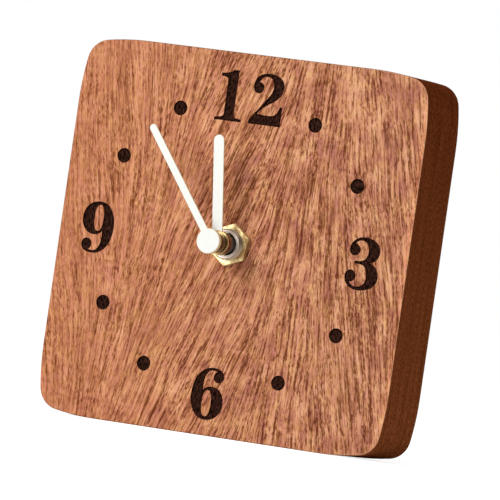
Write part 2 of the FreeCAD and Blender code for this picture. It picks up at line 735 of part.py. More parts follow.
# ---------------------------------------------------------------- hands and their stack
def hand(label, length, width, eye, bore):
    """A straight hand with a round tip and a round eye, its front edges softened."""
    piece = body(label)
    drawing = sketch(piece, "outline")
    half, eye_radius = value(width) / 2, value(eye) / 2
    tip_height = value(length) - half
    root_height = math.sqrt(eye_radius**2 - half**2)
    side = math.asin(half / eye_radius)
    tip = Part.Circle(FreeCAD.Vector(0, tip_height, 0), FORWARD, half)
    ring = Part.Circle(ORIGIN, FORWARD, eye_radius)
    low_left, high_left = FreeCAD.Vector(-half, root_height, 0), FreeCAD.Vector(-half, tip_height, 0)
    low_right, high_right = FreeCAD.Vector(half, root_height, 0), FreeCAD.Vector(half, tip_height, 0)
    left_edge = drawing.addGeometry(Part.LineSegment(low_left, high_left), False)
    tip_arc = drawing.addGeometry(Part.ArcOfCircle(tip, 0, math.pi), False)
    right_edge = drawing.addGeometry(Part.LineSegment(high_right, low_right), False)
    eye_span = (math.pi / 2 + side, 5 * math.pi / 2 - side)
    eye_arc = drawing.addGeometry(Part.ArcOfCircle(ring, *eye_span), False)
    for rule in (
        ("Tangent", left_edge, 2, tip_arc, 2),
        ("Tangent", tip_arc, 1, right_edge, 1),
        ("Coincident", right_edge, 2, eye_arc, 2),
        ("Coincident", eye_arc, 1, left_edge, 1),
        ("Vertical", left_edge),
        ("Vertical", right_edge),
        ("Coincident", eye_arc, 3, -1, 1),
        ("PointOnObject", tip_arc, 3, -2),
    ):
        drawing.addConstraint(Sketcher.Constraint(*rule))
    measure(drawing, f"{width} / 2", "Radius", tip_arc)
    measure(drawing, f"{eye} / 2", "Radius", eye_arc)
    measure(drawing, f"{length} - {width} / 2", "DistanceY", -1, 1, tip_arc, 3)
    circle(drawing, bore)
    pad(piece, drawing, "hand_thickness")
    top, inner = value("hand_thickness"), value(bore) / 2
    soften(piece, "hand_round", lambda p: near(p.z, top) and not near(math.hypot(p.x, p.y), inner))
    return piece


def hour_hand():
    piece = hand("hour_hand", "hour_hand_length", "hour_hand_width", "hour_eye_diameter",
                 f"({HOUR_COLLET_NECK} + 2 * seat_fit)")
    return on_shaft(piece, f"{SEAT} - hour_hand_seat", HOUR_HAND_TURN)


def hour_hand_collet():
    """Brass tube pressed on the hour pipe; its rim holds the hand's eye."""
    bore, rim = "hour_pipe_diameter / 2 + seat_fit", "hour_collet_diameter / 2"
    neck = f"{HOUR_COLLET_NECK} / 2"
    back, hand_front, front = "-hour_collet_length", "hand_thickness", "hand_thickness + collet_rim"
    piece = turned("hour_hand_collet", [
        (bore, back), (rim, back), (rim, "0"), (neck, "0"),
        (neck, hand_front), (rim, hand_front), (rim, front), (bore, front),
    ])
    return on_shaft(piece, f"{SEAT} - hour_hand_seat")


def minute_hand():
    piece = hand("minute_hand", "minute_hand_length", "minute_hand_width", "minute_eye_diameter",
                 "(minute_stub_diameter + 2 * seat_fit)")
    return on_shaft(piece, f"{SEAT} - {MINUTE_HAND_SEAT}", MINUTE_HAND_TURN)


def minute_hand_collet():
    bore = "(minute_arbor_diameter + 2 * seat_fit)"
    piece = tube("minute_hand_collet", "minute_collet_diameter", bore, "0", "minute_collet_length")
    return on_shaft(piece, f"{SEAT} - {MINUTE_COLLET_BACK}")


def cap_nut():
    """Round closed nut over the end of the minute arbor, with a soft rim."""
    radius, bore = "cap_nut_diameter / 2", "minute_stub_diameter / 2 + seat_fit"
    piece = turned("cap_nut", [
        ("0", STUB_ROOM), (bore, STUB_ROOM), (bore, "0"), (radius, "0"),
        (radius, "cap_nut_height"), ("0", "cap_nut_height"),
    ])
    rim, top = value(radius), value("cap_nut_height")
    soften(piece, "cap_nut_round", lambda p: near(p.z, top) and near(math.hypot(p.x, p.y), rim))
    return on_shaft(piece, f"{SEAT} - {CAP_BACK}")


def minute_arbor():
    """The arbor that carries the minute hand, with the cannon pinion and a rear pivot hole."""
    shaft = bar("minute_shaft", "minute_arbor_diameter", "0",
                f"{SEAT} - {MINUTE_HAND_SEAT}", f"{FLOOR} + {MINUTE_ARBOR_END}", AXIS)
    stub = bar("minute_stub", "minute_stub_diameter", "0",
               f"{SEAT} - {CAP_BACK} - {STUB_ROOM} + seat_fit", f"{SEAT} - {MINUTE_HAND_SEAT}", AXIS)
    teeth = wheel("cannon_teeth", "cannon", "motion_module", CENTRE, CANNON_LEVEL, "pinion_length", 0)
    hole = bar("seconds_pivot_hole", "(seconds_pivot_diameter + 2 * arbor_fit)", "0",
               f"{FLOOR} + {MINUTE_ARBOR_END} - seconds_pivot_depth", f"{FLOOR} + {MINUTE_ARBOR_END}", AXIS)
    return cut("minute_arbor", fused("minute_arbor_raw", [shaft, stub, teeth]), hole)


# ---------------------------------------------------------------- gears
TOOTH_ABOVE = 0.8  # height of a tooth over the pitch circle, in modules
TOOTH_BELOW = 1.1
TOOTH_ROOT = 0.6  # width of a tooth, as a share of the distance from tooth to tooth
TOOTH_TIP = 0.22


def wheel(name, kind, module, axis, level, thickness, turn):
    """A spur gear with straight-flanked teeth, one of which points at the turn angle."""
    size, count = value(module), TEETH[kind]
    root, tip = size * (count / 2 - TOOTH_BELOW), size * (count / 2 + TOOTH_ABOVE)
    step = 2 * math.pi / count
    corners = []
    for k in range(count):
        for radius, side in ((root, -TOOTH_ROOT), (tip, -TOOTH_TIP), (tip, TOOTH_TIP), (root, TOOTH_ROOT)):
            angle = math.radians(turn) + (k + side / 2) * step
            corners.append(FreeCAD.Vector(radius * math.cos(angle), radius * math.sin(angle), 0))
    face = Part.Face(Part.makePolygon(corners + corners[:1]))
    solid = face.extrude(FORWARD * value(thickness))
    return on_axis(drawn(name, solid), axis, f"{FLOOR} + {level} + {thickness}")


def arbor(name, diameter, axis, start, end):
    """A round bar along one of the axes, between two levels."""
    return bar(name, diameter, axis[0], f"{FLOOR} + {start}", f"{FLOOR} + {end}", f"{AXIS} + {axis[1]}")


def meshed(driver, driver_turn, follower, angle):
    """The turn at which a follower's teeth stand in the gaps of its driver's, in degrees."""
    direction = value(angle)
    phase = TEETH[driver] * (direction - driver_turn) / 360
    return direction + 180 - 360 / TEETH[follower] * (0.5 - phase)


def running_arbor(name, axis):
    """A thin arbor with a pivot in the front plate and one in the bridge."""
    middle = arbor(f"{name}_arbor", "arbor_diameter", axis, "end_play", f"{BRIDGE_LEVEL} - end_play")
    pivots = arbor(f"{name}_pivots", "pivot_diameter", axis, "-pivot_length", ARBOR_END)
    return [middle, pivots]


def motion_wheel():
    """Wheel and pinion in one, which turn on a fixed post between the cannon and the hours."""
    turn = meshed("cannon", 0, "motion_wheel", "motion_angle")
    disc = wheel("motion_disc", "motion_wheel", "motion_module", MOTION, "motion_level",
                 "wheel_thickness", turn)
    pinion = wheel("motion_teeth", "motion_pinion", HOUR_MODULE, MOTION, MOTION_PINION_LEVEL,
                   f"motion_level - {MOTION_PINION_LEVEL}", 0)
    hole = arbor("motion_hole", "(motion_post_diameter + 2 * arbor_fit)", MOTION,
                 "0", "motion_level + 2 * wheel_thickness")
    return cut("motion_wheel", fused("motion_raw", [disc, pinion]), hole)


def hour_wheel():
    """Wheel with the long pipe that carries the hour hand."""
    turn = meshed("motion_pinion", 0, "hour_wheel", "motion_angle + 180")
    disc = wheel("hour_disc", "hour_wheel", HOUR_MODULE, CENTRE, "hour_wheel_level",
                 "wheel_thickness", turn)
    back = f"{FLOOR} + hour_wheel_level + wheel_thickness"
    pipe = bar("hour_pipe", "hour_pipe_diameter", "0", f"{SEAT} - {PIPE_REACH}", back, AXIS)
    hole = bar("hour_pipe_hole", "(minute_arbor_diameter + 2 * arbor_fit)", "0",
               f"{SEAT} - {PIPE_REACH} - hand_thickness", f"{back} + hand_thickness", AXIS)
    return cut("hour_wheel", fused("hour_raw", [disc, pipe]), hole)


def setting_stem():
    """Pinion on a stem that reaches through the bridge and the cover to the knob."""
    motion_turn = meshed("cannon", 0, "motion_wheel", "motion_angle")
    turn = meshed("motion_wheel", motion_turn, "setting", "setting_angle")
    teeth = wheel("setting_teeth", "setting", "motion_module", SETTING, CANNON_LEVEL,
                  "pinion_length", turn)
    journal = arbor("setting_journal", "setting_journal_diameter", SETTING, "end_play", CANNON_LEVEL)
    end = f"{COVER_LEVEL} + cover_thickness + knob_gap + knob_bore_depth"
    stem = arbor("setting_shaft", "setting_stem_diameter", SETTING, CANNON_LEVEL, end)
    return fused("setting_stem", [teeth, journal, stem])


def setting_knob():
    """Thumb knob on the back, with a row of notches in its rim."""
    piece = body("setting_knob")
    disc = circle(sketch(piece, "disc"), "knob_diameter")
    pad(piece, disc, "knob_height")
    socket = circle(sketch(piece, "socket", height="knob_height"), "(setting_stem_diameter + 2 * seat_fit)")
    pocket(piece, socket, "knob_bore_depth + seat_fit")
    rim = circle(sketch(piece, "notch", height="knob_height"), "knob_notch", "knob_diameter / 2")
    notch = pocket(piece, rim, "knob_height")
    row = piece.newObject("PartDesign::PolarPattern", "knob_notches")
    row.Originals = [notch]
    row.Axis = (rim, ["N_Axis"])
    row.Angle = 360
    row.Occurrences = KNOB_NOTCHES
    piece.Tip = row
    soften(piece, "knob_round", lambda p: near(p.z, 0))
    back = f"{FLOOR} + {COVER_LEVEL} + cover_thickness + knob_gap + knob_height"
    return on_axis(piece, SETTING, back)


def centre_wheel():
    """Runs free on the minute arbor; a slip clutch, left out here, drives that arbor."""
    turn = meshed("third_pinion", 0, "centre_wheel", "third_angle + 180")
    disc = wheel("centre_disc", "centre_wheel", CENTRE_MODULE, CENTRE, "centre_level",
                 "wheel_thickness", turn)
    hub = arbor("centre_hub", "hub_diameter", CENTRE, HUB_LEVEL, f"{HUB_LEVEL} + hub_length")
    hole = arbor("centre_hole", "(minute_arbor_diameter + 2 * arbor_fit)", CENTRE,
                 f"{HUB_LEVEL} - hub_length", f"{HUB_LEVEL} + 2 * hub_length")
    return cut("centre_wheel", fused("centre_raw", [disc, hub]), hole)


def third_wheel():
    turn = meshed("seconds_pinion", 0, "third_wheel", "third_angle")
    disc = wheel("third_disc", "third_wheel", "fast_module", THIRD, "third_level",
                 "wheel_thickness", turn)
    pinion = wheel("third_teeth", "third_pinion", CENTRE_MODULE, THIRD, THIRD_PINION_LEVEL,
                   "pinion_length", 0)
    return fused("third_wheel", [disc, pinion] + running_arbor("third", THIRD))


def seconds_wheel():
    """On the shaft's own axis, with its front pivot in the end of the minute arbor."""
    turn = meshed("intermediate_pinion", 0, "seconds_wheel", "intermediate_angle + 180")
    disc = wheel("seconds_disc", "seconds_wheel", "seconds_module", CENTRE, "seconds_level",
                 "wheel_thickness", turn)
    pinion = wheel("seconds_teeth", "seconds_pinion", "fast_module", CENTRE,
                   SECONDS_PINION_LEVEL, "pinion_length", 0)
    pivot_start = f"{MINUTE_ARBOR_END} - seconds_pivot_depth + end_play"
    shaft = arbor("seconds_arbor", "seconds_pivot_diameter", CENTRE, pivot_start,
                  f"{BRIDGE_LEVEL} - end_play")
    pivot = arbor("seconds_pivot", "pivot_diameter", CENTRE, "seconds_level", ARBOR_END)
    return fused("seconds_wheel", [disc, pinion, shaft, pivot])


def intermediate_wheel():
    turn = meshed("rotor", 0, "intermediate_wheel", "rotor_angle + 180")
    disc = wheel("intermediate_disc", "intermediate_wheel", "fast_module", INTERMEDIATE,
                 "intermediate_level", "wheel_thickness", turn)
    pinion = wheel("intermediate_teeth", "intermediate_pinion", "seconds_module", INTERMEDIATE,
                   INTERMEDIATE_PINION_LEVEL, "pinion_length", 0)
    return fused("intermediate_wheel", [disc, pinion] + running_arbor("intermediate", INTERMEDIATE))


# ---------------------------------------------------------------- step motor
def rotor_pinion():
    teeth = wheel("rotor_teeth", "rotor", "fast_module", ROTOR, ROTOR_PINION_LEVEL, "pinion_length", 0)
    return fused("rotor_pinion", [teeth] + running_arbor("rotor", ROTOR))


def rotor_magnet():
    bore = "(arbor_diameter + 2 * seat_fit)"
    piece = tube("rotor_magnet", "rotor_diameter", bore, "0", "rotor_height")
    return on_axis(piece, ROTOR, f"{FLOOR} + rotor_level + rotor_height")


def stator():
    """Soft iron plate round the rotor with two uprights that carry the coil's core."""
    piece = body("stator")
    hole = "(rotor_diameter + 2 * rotor_air_gap)"
    bottom, top = f"({ROTOR[1]} - {hole} / 2 - stator_rim)", f"({ROTOR[1]} + {hole} / 2 + stator_rim)"
    inner_left, inner_right = "(stator_left + stator_upright)", "(stator_right - stator_upright)"
    crown = f"({COIL_HEIGHT} + core_width / 2)"
    drawing = sketch(piece, "plate")
    polygon(drawing, [
        ("stator_left", bottom), ("stator_right", bottom), ("stator_right", crown),
        (inner_right, crown), (inner_right, top), (inner_left, top), (inner_left, crown),
        ("stator_left", crown),
    ])
    circle(drawing, hole, *ROTOR)
    pad(piece, drawing, "stator_thickness")
    return on_shaft(piece, f"{FLOOR} + stator_level + stator_thickness")


COIL_Y = f"({FLOOR} + stator_level + stator_thickness + core_thickness / 2)"
COIL_Z = f"({AXIS} + {COIL_HEIGHT})"
COIL_START = "(stator_left + stator_upright + bobbin_space)"
COIL_LENGTH = f"(stator_right - stator_upright - bobbin_space - {COIL_START})"
BOBBIN_BORE = "(core_width + 2 * bobbin_wall)"
WINDING_BORE = f"({BOBBIN_BORE} + 2 * bobbin_wall)"


def coil_core():
    """Flat iron bar across the uprights, through the bobbin."""
    low = ("stator_left", f"{COIL_Y} - core_thickness / 2", f"{COIL_Z} - core_width / 2")
    high = ("stator_right", f"{COIL_Y} + core_thickness / 2", f"{COIL_Z} + core_width / 2")
    bar_body = box("coil_core", low, high)
    bar_body.Label = "coil_core"
    return bar_body


def coil_bobbin():
    bore, neck, rim = f"{BOBBIN_BORE} / 2", f"{WINDING_BORE} / 2 - seat_fit", "bobbin_flange / 2"
    far = f"{COIL_LENGTH} - bobbin_cheek"
    piece = turned("coil_bobbin", [
        (bore, "0"), (rim, "0"), (rim, "bobbin_cheek"), (neck, "bobbin_cheek"),
        (neck, far), (rim, far), (rim, COIL_LENGTH), (bore, COIL_LENGTH),
    ])
    return place(piece, COIL_START, COIL_Y, COIL_Z, SIDEWAYS)


def coil_winding():
    start, end = "bobbin_cheek + seat_fit", f"{COIL_LENGTH} - bobbin_cheek - seat_fit"
    piece = tube("coil_winding", "winding_diameter", WINDING_BORE, start, end)
    return place(piece, COIL_START, COIL_Y, COIL_Z, SIDEWAYS)


# ---------------------------------------------------------------- housing
BRIDGE_POSTS = [(x, y) for x in ("post_left", POST_RIGHT) for y in (POST_LOW, "post_high")]
STATOR_POSTS = [
    ("stator_left + stator_upright / 2", COIL_HEIGHT),
    ("stator_right - stator_upright / 2", COIL_HEIGHT),
]
MOTION_POST_END = "(motion_level + wheel_thickness + end_play)"
SETTING_COLLAR_END = f"({CANNON_LEVEL} - end_play)"
BOARD_MIDDLE = f"({BOARD_LEFT} + board_width / 2)"
BOARD_POSTS = [
    (BOARD_MIDDLE, f"{BOARD_BOTTOM} + board_edge"),
    (BOARD_MIDDLE, f"{BOARD_BOTTOM} + board_height - board_edge"),
]


def posts(piece, name, spots, diameter, level):
    """Round posts from the front plate's inner face back to a level."""
    drawing = sketch(piece, name, height="-housing_wall")
    for x, y in spots:
        circle(drawing, diameter, x, y)
    pad(piece, drawing, level, backwards=True)


def front_housing():
    """Tray that holds the movement: a shallow gear case above, a deeper battery bay below."""
    piece = body("front_housing")
    plate = rectangle(sketch(piece, "plate"), f"-{HALF}", f"-{HALF}", HALF, HALF)
    pad(piece, plate, GEAR_CASE_DEPTH, backwards=True)
    bay = sketch(piece, "bay", height=f"-{GEAR_CASE_DEPTH}")
    rectangle(bay, f"-{HALF}", f"-{HALF}", HALF, GEAR_BOTTOM)
    pad(piece, bay, f"{HOUSING_DEPTH} - {GEAR_CASE_DEPTH}", backwards=True)
    soften(piece, "housing_corner", at_corners((f"-{HALF}", HALF), (f"-{HALF}", HALF)))
    gear_room = sketch(piece, "gear_room", height=f"-{GEAR_CASE_DEPTH}")
    rectangle(gear_room, f"-{INSIDE}", GEAR_BOTTOM, INSIDE, INSIDE)
    pocket(piece, gear_room, COVER_LEVEL, forwards=True)
    battery_room = sketch(piece, "battery_room", height=f"-{HOUSING_DEPTH}")
    rectangle(battery_room, f"-{INSIDE}", f"-{INSIDE}", INSIDE, BAY_TOP)
    pocket(piece, battery_room, f"{HOUSING_DEPTH} - housing_wall", forwards=True)
    bush_hole = circle(sketch(piece, "bush_hole"), "(thread_diameter + 2 * seat_fit)")
    pocket(piece, bush_hole, "housing_wall")
    posts(piece, "bridge_posts", BRIDGE_POSTS, "post_diameter", BRIDGE_LEVEL)
    posts(piece, "board_posts", BOARD_POSTS, "board_post_diameter", "board_level")
    posts(piece, "stator_posts", STATOR_POSTS, "post_diameter", "stator_level")
    posts(piece, "motion_collar", [MOTION], "motion_collar_diameter", f"{MOTION_PINION_LEVEL} - end_play")
    posts(piece, "motion_post", [MOTION], "motion_post_diameter", MOTION_POST_END)
    posts(piece, "setting_collar", [SETTING], "setting_collar_diameter", SETTING_COLLAR_END)
    pivot_holes = sketch(piece, "pivot_holes", height="-housing_wall")
    for axis in (THIRD, INTERMEDIATE, ROTOR):
        circle(pivot_holes, "(pivot_diameter + 2 * pivot_fit)", *axis)
    pocket(piece, pivot_holes, "pivot_seat", forwards=True)
    journal_hole = sketch(piece, "journal_hole", height=f"-housing_wall - {SETTING_COLLAR_END}")
    circle(journal_hole, "(setting_journal_diameter + 2 * pivot_fit)", *SETTING)
    pocket(piece, journal_hole, SETTING_COLLAR_END, forwards=True)
    return on_shaft(piece, SEAT)


def gear_bridge():
    """Plate on four posts that holds the rear pivots and guides the setting stem."""
    piece = body("gear_bridge")
    left, right = "(post_left - bridge_margin)", f"({POST_RIGHT} + bridge_margin)"
    low, high = f"({POST_LOW} - bridge_margin)", "(post_high + bridge_margin)"
    plate = rectangle(sketch(piece, "plate"), left, low, right, high)
    for axis in (CENTRE, THIRD, INTERMEDIATE, ROTOR):
        circle(plate, "(pivot_diameter + 2 * pivot_fit)", *axis)
    circle(plate, "(setting_stem_diameter + 2 * arbor_fit)", *SETTING)
    pad(piece, plate, "bridge_thickness")
    soften(piece, "bridge_margin", at_corners((left, right), (low, high)))
    return on_shaft(piece, f"{FLOOR} + {BRIDGE_LEVEL} + bridge_thickness")


def rear_cover():
    """Lid of the gear case, with a lip that drops inside its walls."""
    piece = body("rear_cover")
    bottom = f"({GEAR_BOTTOM} + lip_gap)"
    plate = rectangle(sketch(piece, "plate"), f"-{HALF}", bottom, HALF, HALF)
    pad(piece, plate, "cover_thickness")
    soften(piece, "housing_corner", at_corners((f"-{HALF}", HALF), (HALF,)))
    lip = sketch(piece, "lip", height="cover_thickness")
    side = f"({INSIDE} - lip_gap)"
    rectangle(lip, f"-{side}", bottom, side, side)
    inner = f"({side} - lip_width)"
    rectangle(lip, f"-{inner}", f"{bottom} + lip_width", inner, inner)
    pad(piece, lip, "cover_lip")
    stem_hole = sketch(piece, "stem_hole", height="cover_thickness")
    circle(stem_hole, "(setting_stem_diameter + 2 * stem_hole_gap)", *SETTING)
    pocket(piece, stem_hole, "cover_thickness")
    return on_shaft(piece, f"{FLOOR} + {COVER_LEVEL} + cover_thickness")


# ---------------------------------------------------------------- circuit board
BOARD_BACK = f"({FLOOR} + board_level + board_thickness)"


def circuit_board():
    piece = body("circuit_board")
    plate = sketch(piece, "plate")
    right, top = f"{BOARD_LEFT} + board_width", f"{BOARD_BOTTOM} + board_height"
    rectangle(plate, BOARD_LEFT, BOARD_BOTTOM, right, top)
    pad(piece, plate, "board_thickness")
    return on_shaft(piece, BOARD_BACK)


def rod(label, diameter, length):
    """A solid round piece along its own axis."""
    return turned(label, [("0", "0"), (f"{diameter} / 2", "0"), (f"{diameter} / 2", length), ("0", length)])


def driver_chip():
    """Round drop of sealing compound over the clock's chip."""
    piece = rod("driver_chip", "chip_diameter", "chip_height")
    top = value("chip_height")
    soften(piece, "chip_round", lambda p: near(p.z, top))
    return place(piece, BOARD_MIDDLE, BOARD_BACK, f"{AXIS} + {BOARD_BOTTOM} + chip_rise", BACKWARD)


def quartz_crystal():
    """Small metal can that lies on the board."""
    piece = rod("quartz_crystal", "crystal_diameter", "crystal_length")
    rim = value("crystal_diameter") / 2
    soften(piece, "crystal_round", lambda p: near(math.hypot(p.x, p.y), rim))
    y = f"{BOARD_BACK} + crystal_diameter / 2"
    return place(piece, BOARD_MIDDLE, y, f"{AXIS} + {BOARD_BOTTOM} + crystal_rise", UNTURNED)


# ---------------------------------------------------------------- battery and contacts
BATTERY_Y = f"({FLOOR} + battery_gap + battery_diameter / 2)"
BATTERY_Z = f"({AXIS} - {INSIDE} + battery_gap + battery_diameter / 2)"


def battery():
    """AA cell: a round can with the positive tip at its right end."""
    radius, tip = "battery_diameter / 2", "battery_tip_diameter / 2"
    can = "battery_length - battery_tip_length"
    piece = turned("battery", [
        ("0", "0"), (radius, "0"), (radius, can), (tip, can), (tip, "battery_length"),
        ("0", "battery_length"),
    ])
    rim = value(radius)
    soften(piece, "battery_round", lambda p: near(math.hypot(p.x, p.y), rim))
    return place(piece, "-battery_length / 2", BATTERY_Y, BATTERY_Z, SIDEWAYS)


def contact(label, x, rotation):
    """Spring plate on one end wall of the bay, with a round boss that meets the cell."""
    piece = body(label)
    plate = sketch(piece, "plate")
    rise, reach = "(contact_height / 2)", "(contact_width / 2)"
    rectangle(plate, f"-{rise}", f"-{reach}", rise, reach)
    pad(piece, plate, "contact_thickness")
    boss = circle(sketch(piece, "boss", height="contact_thickness"), "contact_boss_diameter")
    pad(piece, boss, "contact_boss_length")
    return place(piece, x, BATTERY_Y, BATTERY_Z, rotation)


# ---------------------------------------------------------------- build and export
PIECES = [
    case_block(), cushion_washer(), hex_nut(), threaded_bush(),
    front_housing(), gear_bridge(), rear_cover(),
    circuit_board(), driver_chip(), quartz_crystal(),
    stator(), coil_core(), coil_bobbin(), coil_winding(), rotor_magnet(), rotor_pinion(),
    intermediate_wheel(), seconds_wheel(), third_wheel(), centre_wheel(),
    minute_arbor(), motion_wheel(), hour_wheel(), setting_stem(), setting_knob(),
    hour_hand_collet(), hour_hand(), minute_hand_collet(), minute_hand(), cap_nut(),
    contact("battery_contact_positive", INSIDE, INWARD),
    contact("battery_contact_negative", f"-{INSIDE}", SIDEWAYS),
    battery(),
]
doc.recompute()

for item in doc.Objects:
    if "Invalid" in item.State or "Error" in item.State:
        raise RuntimeError(f"{item.Name} did not build: {item.State}")

os.makedirs("parts", exist_ok=True)
for piece in PIECES:
    if piece.Shape.isNull() or not piece.Shape.isValid() or len(piece.Shape.Solids) != 1:
        raise RuntimeError(f"{piece.Label} is not one sound solid")
    piece.Shape.exportStep(os.path.join("parts", f"{piece.Label}.step"))
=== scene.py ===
import json
import math

import bmesh
import bpy
from mathutils import Matrix, Vector


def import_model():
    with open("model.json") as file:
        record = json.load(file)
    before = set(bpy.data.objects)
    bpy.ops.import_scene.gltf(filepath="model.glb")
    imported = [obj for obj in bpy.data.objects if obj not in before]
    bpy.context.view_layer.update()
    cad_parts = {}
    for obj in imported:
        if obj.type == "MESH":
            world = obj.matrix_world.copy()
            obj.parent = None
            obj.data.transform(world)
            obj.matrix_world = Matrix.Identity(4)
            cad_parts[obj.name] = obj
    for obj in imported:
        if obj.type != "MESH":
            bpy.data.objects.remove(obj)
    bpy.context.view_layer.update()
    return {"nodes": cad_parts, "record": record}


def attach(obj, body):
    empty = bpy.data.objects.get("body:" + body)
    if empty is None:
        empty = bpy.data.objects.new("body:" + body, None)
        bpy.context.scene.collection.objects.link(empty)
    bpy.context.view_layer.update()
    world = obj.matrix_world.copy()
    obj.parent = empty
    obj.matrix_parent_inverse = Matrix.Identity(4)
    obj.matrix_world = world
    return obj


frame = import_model()
NODES = frame["nodes"]

MM = 1000.0  # millimetres in a metre
# the block and its shaft, in millimetres
HALF_SIDE = 50.0
SHAFT_Z = 50.0
FACE_Y = -10.5


def linear(r, g, b):
    """A colour written in 8-bit sRGB, as the shader sockets take it."""
    def channel(c):
        c /= 255
        return c / 12.92 if c <= 0.04045 else ((c + 0.055) / 1.055) ** 2.4
    return (channel(r), channel(g), channel(b), 1.0)


# ---------------------------------------------------------------- node trees
class Finish:
    """One procedural material, built a node at a time. Lengths in it are millimetres."""

    def __init__(self, name, **sockets):
        self.material = bpy.data.materials.new(name)
        self.material.use_nodes = True
        self.tree = self.material.node_tree
        self.tree.nodes.clear()
        self.bsdf = self.add("ShaderNodeBsdfPrincipled")
        out = self.add("ShaderNodeOutputMaterial")
        self.tree.links.new(self.bsdf.outputs["BSDF"], out.inputs["Surface"])
        for socket, number in sockets.items():
            self.bsdf.inputs[socket.replace("_", " ")].default_value = number

    def add(self, kind, **settings):
        node = self.tree.nodes.new(kind)
        for key, setting in settings.items():
            setattr(node, key, setting)
        return node

    def feed(self, socket, given):
        if isinstance(given, bpy.types.NodeSocket):
            self.tree.links.new(given, socket)
        else:
            socket.default_value = given

    def set(self, name, given):
        self.feed(self.bsdf.inputs[name], given)

    def math(self, operation, *inputs):
        node = self.add("ShaderNodeMath", operation=operation)
        for socket, given in zip(node.inputs, inputs):
            self.feed(socket, given)
        return node.outputs[0]

    def point(self):
        """The surface point in the object's own frame, in millimetres, as x, y and z."""
        source = self.add("ShaderNodeTexCoord").outputs["Object"]
        scaled = self.add("ShaderNodeVectorMath", operation="SCALE")
        self.feed(scaled.inputs[0], source)
        scaled.inputs["Scale"].default_value = MM
        return self.split(scaled.outputs[0])

    def split(self, vector):
        node = self.add("ShaderNodeSeparateXYZ")
        self.feed(node.inputs[0], vector)
        return node.outputs[0], node.outputs[1], node.outputs[2]

    def join(self, x, y, z):
        node = self.add("ShaderNodeCombineXYZ")
        for socket, given in zip(node.inputs, (x, y, z)):
            self.feed(socket, given)
        return node.outputs[0]

    def radius(self, x, z):
        """Distance from the axis of the hand shaft."""
        up = self.math("SUBTRACT", z, SHAFT_Z)
        return self.math("SQRT", self.math("ADD", self.math("MULTIPLY", x, x), self.math("MULTIPLY", up, up)))

    def facing(self, axis):
        """How far the surface faces along one of the object's axes, either way: 0 to 1."""
        normal = self.add("ShaderNodeTexCoord").outputs["Normal"]
        return self.math("ABSOLUTE", self.split(normal)[axis])

    def stretched(self, axes, factors):
        return self.join(*(self.math("MULTIPLY", a, f) for a, f in zip(axes, factors)))

    def noise(self, axes, factors, detail=2.0, roughness=0.5):
        """Noise with its own scale along each axis. One number stands for three equal scales."""
        if not isinstance(factors, tuple):
            factors = (factors, factors, factors)
        node = self.add("ShaderNodeTexNoise")
        self.feed(node.inputs["Vector"], self.stretched(axes, factors))
        node.inputs["Scale"].default_value = 1.0
        node.inputs["Detail"].default_value = detail
        node.inputs["Roughness"].default_value = roughness
        return node.outputs[0]

    def lathe_rings(self, radius, y, scale):
        """The fine rings that a lathe leaves round the hand shaft."""
        return self.noise((radius, y, radius), (scale, scale, 0.0))

    def between(self, given, low, high, start=0.0, end=1.0, smooth=False):
        """Start where the given number is at low, end where it is at high."""
        node = self.add("ShaderNodeMapRange", interpolation_type="SMOOTHSTEP" if smooth else "LINEAR")
        self.feed(node.inputs[0], given)
        for socket, number in zip(node.inputs[1:5], (low, high, start, end)):
            socket.default_value = number
        return node.outputs[0]

    def ramp(self, given, stops, interpolation="LINEAR"):
        """A colour for each stop. One number stands for a grey."""
        node = self.add("ShaderNodeValToRGB")
        node.color_ramp.interpolation = interpolation
        elements = node.color_ramp.elements
        while len(elements) < len(stops):
            elements.new(0.5)
        for element, (place, colour) in zip(elements, stops):
            element.position = place
            element.color = colour if isinstance(colour, tuple) else (colour, colour, colour, 1.0)
        self.feed(node.inputs[0], given)
        return node.outputs[0]

    def mix(self, factor, a, b, blend="MIX"):
        node = self.add("ShaderNodeMix", data_type="RGBA", blend_type=blend)
        for index, given in zip((0, 6, 7), (factor, a, b)):
            self.feed(node.inputs[index], given)
        return node.outputs[2]

    def tinted(self, colour, factor):
        """The colour times the factor, channel by channel."""
        return self.mix(1.0, colour, factor, "MULTIPLY")

    def bump(self, height, depth):
        """Raises the surface by up to the depth, in millimetres."""
        node = self.add("ShaderNodeBump")
        node.inputs["Strength"].default_value = 1.0
        node.inputs["Distance"].default_value = depth / MM
        self.feed(node.inputs["Height"], height)
        self.set("Normal", node.outputs[0])


# ---------------------------------------------------------------- materials
ROW = 18.0  # height of a row of straight fibres in the wood
MARKS_FROM, MARKS_TO = 9.0, 47.0  # where the numerals and dots lie, from the shaft


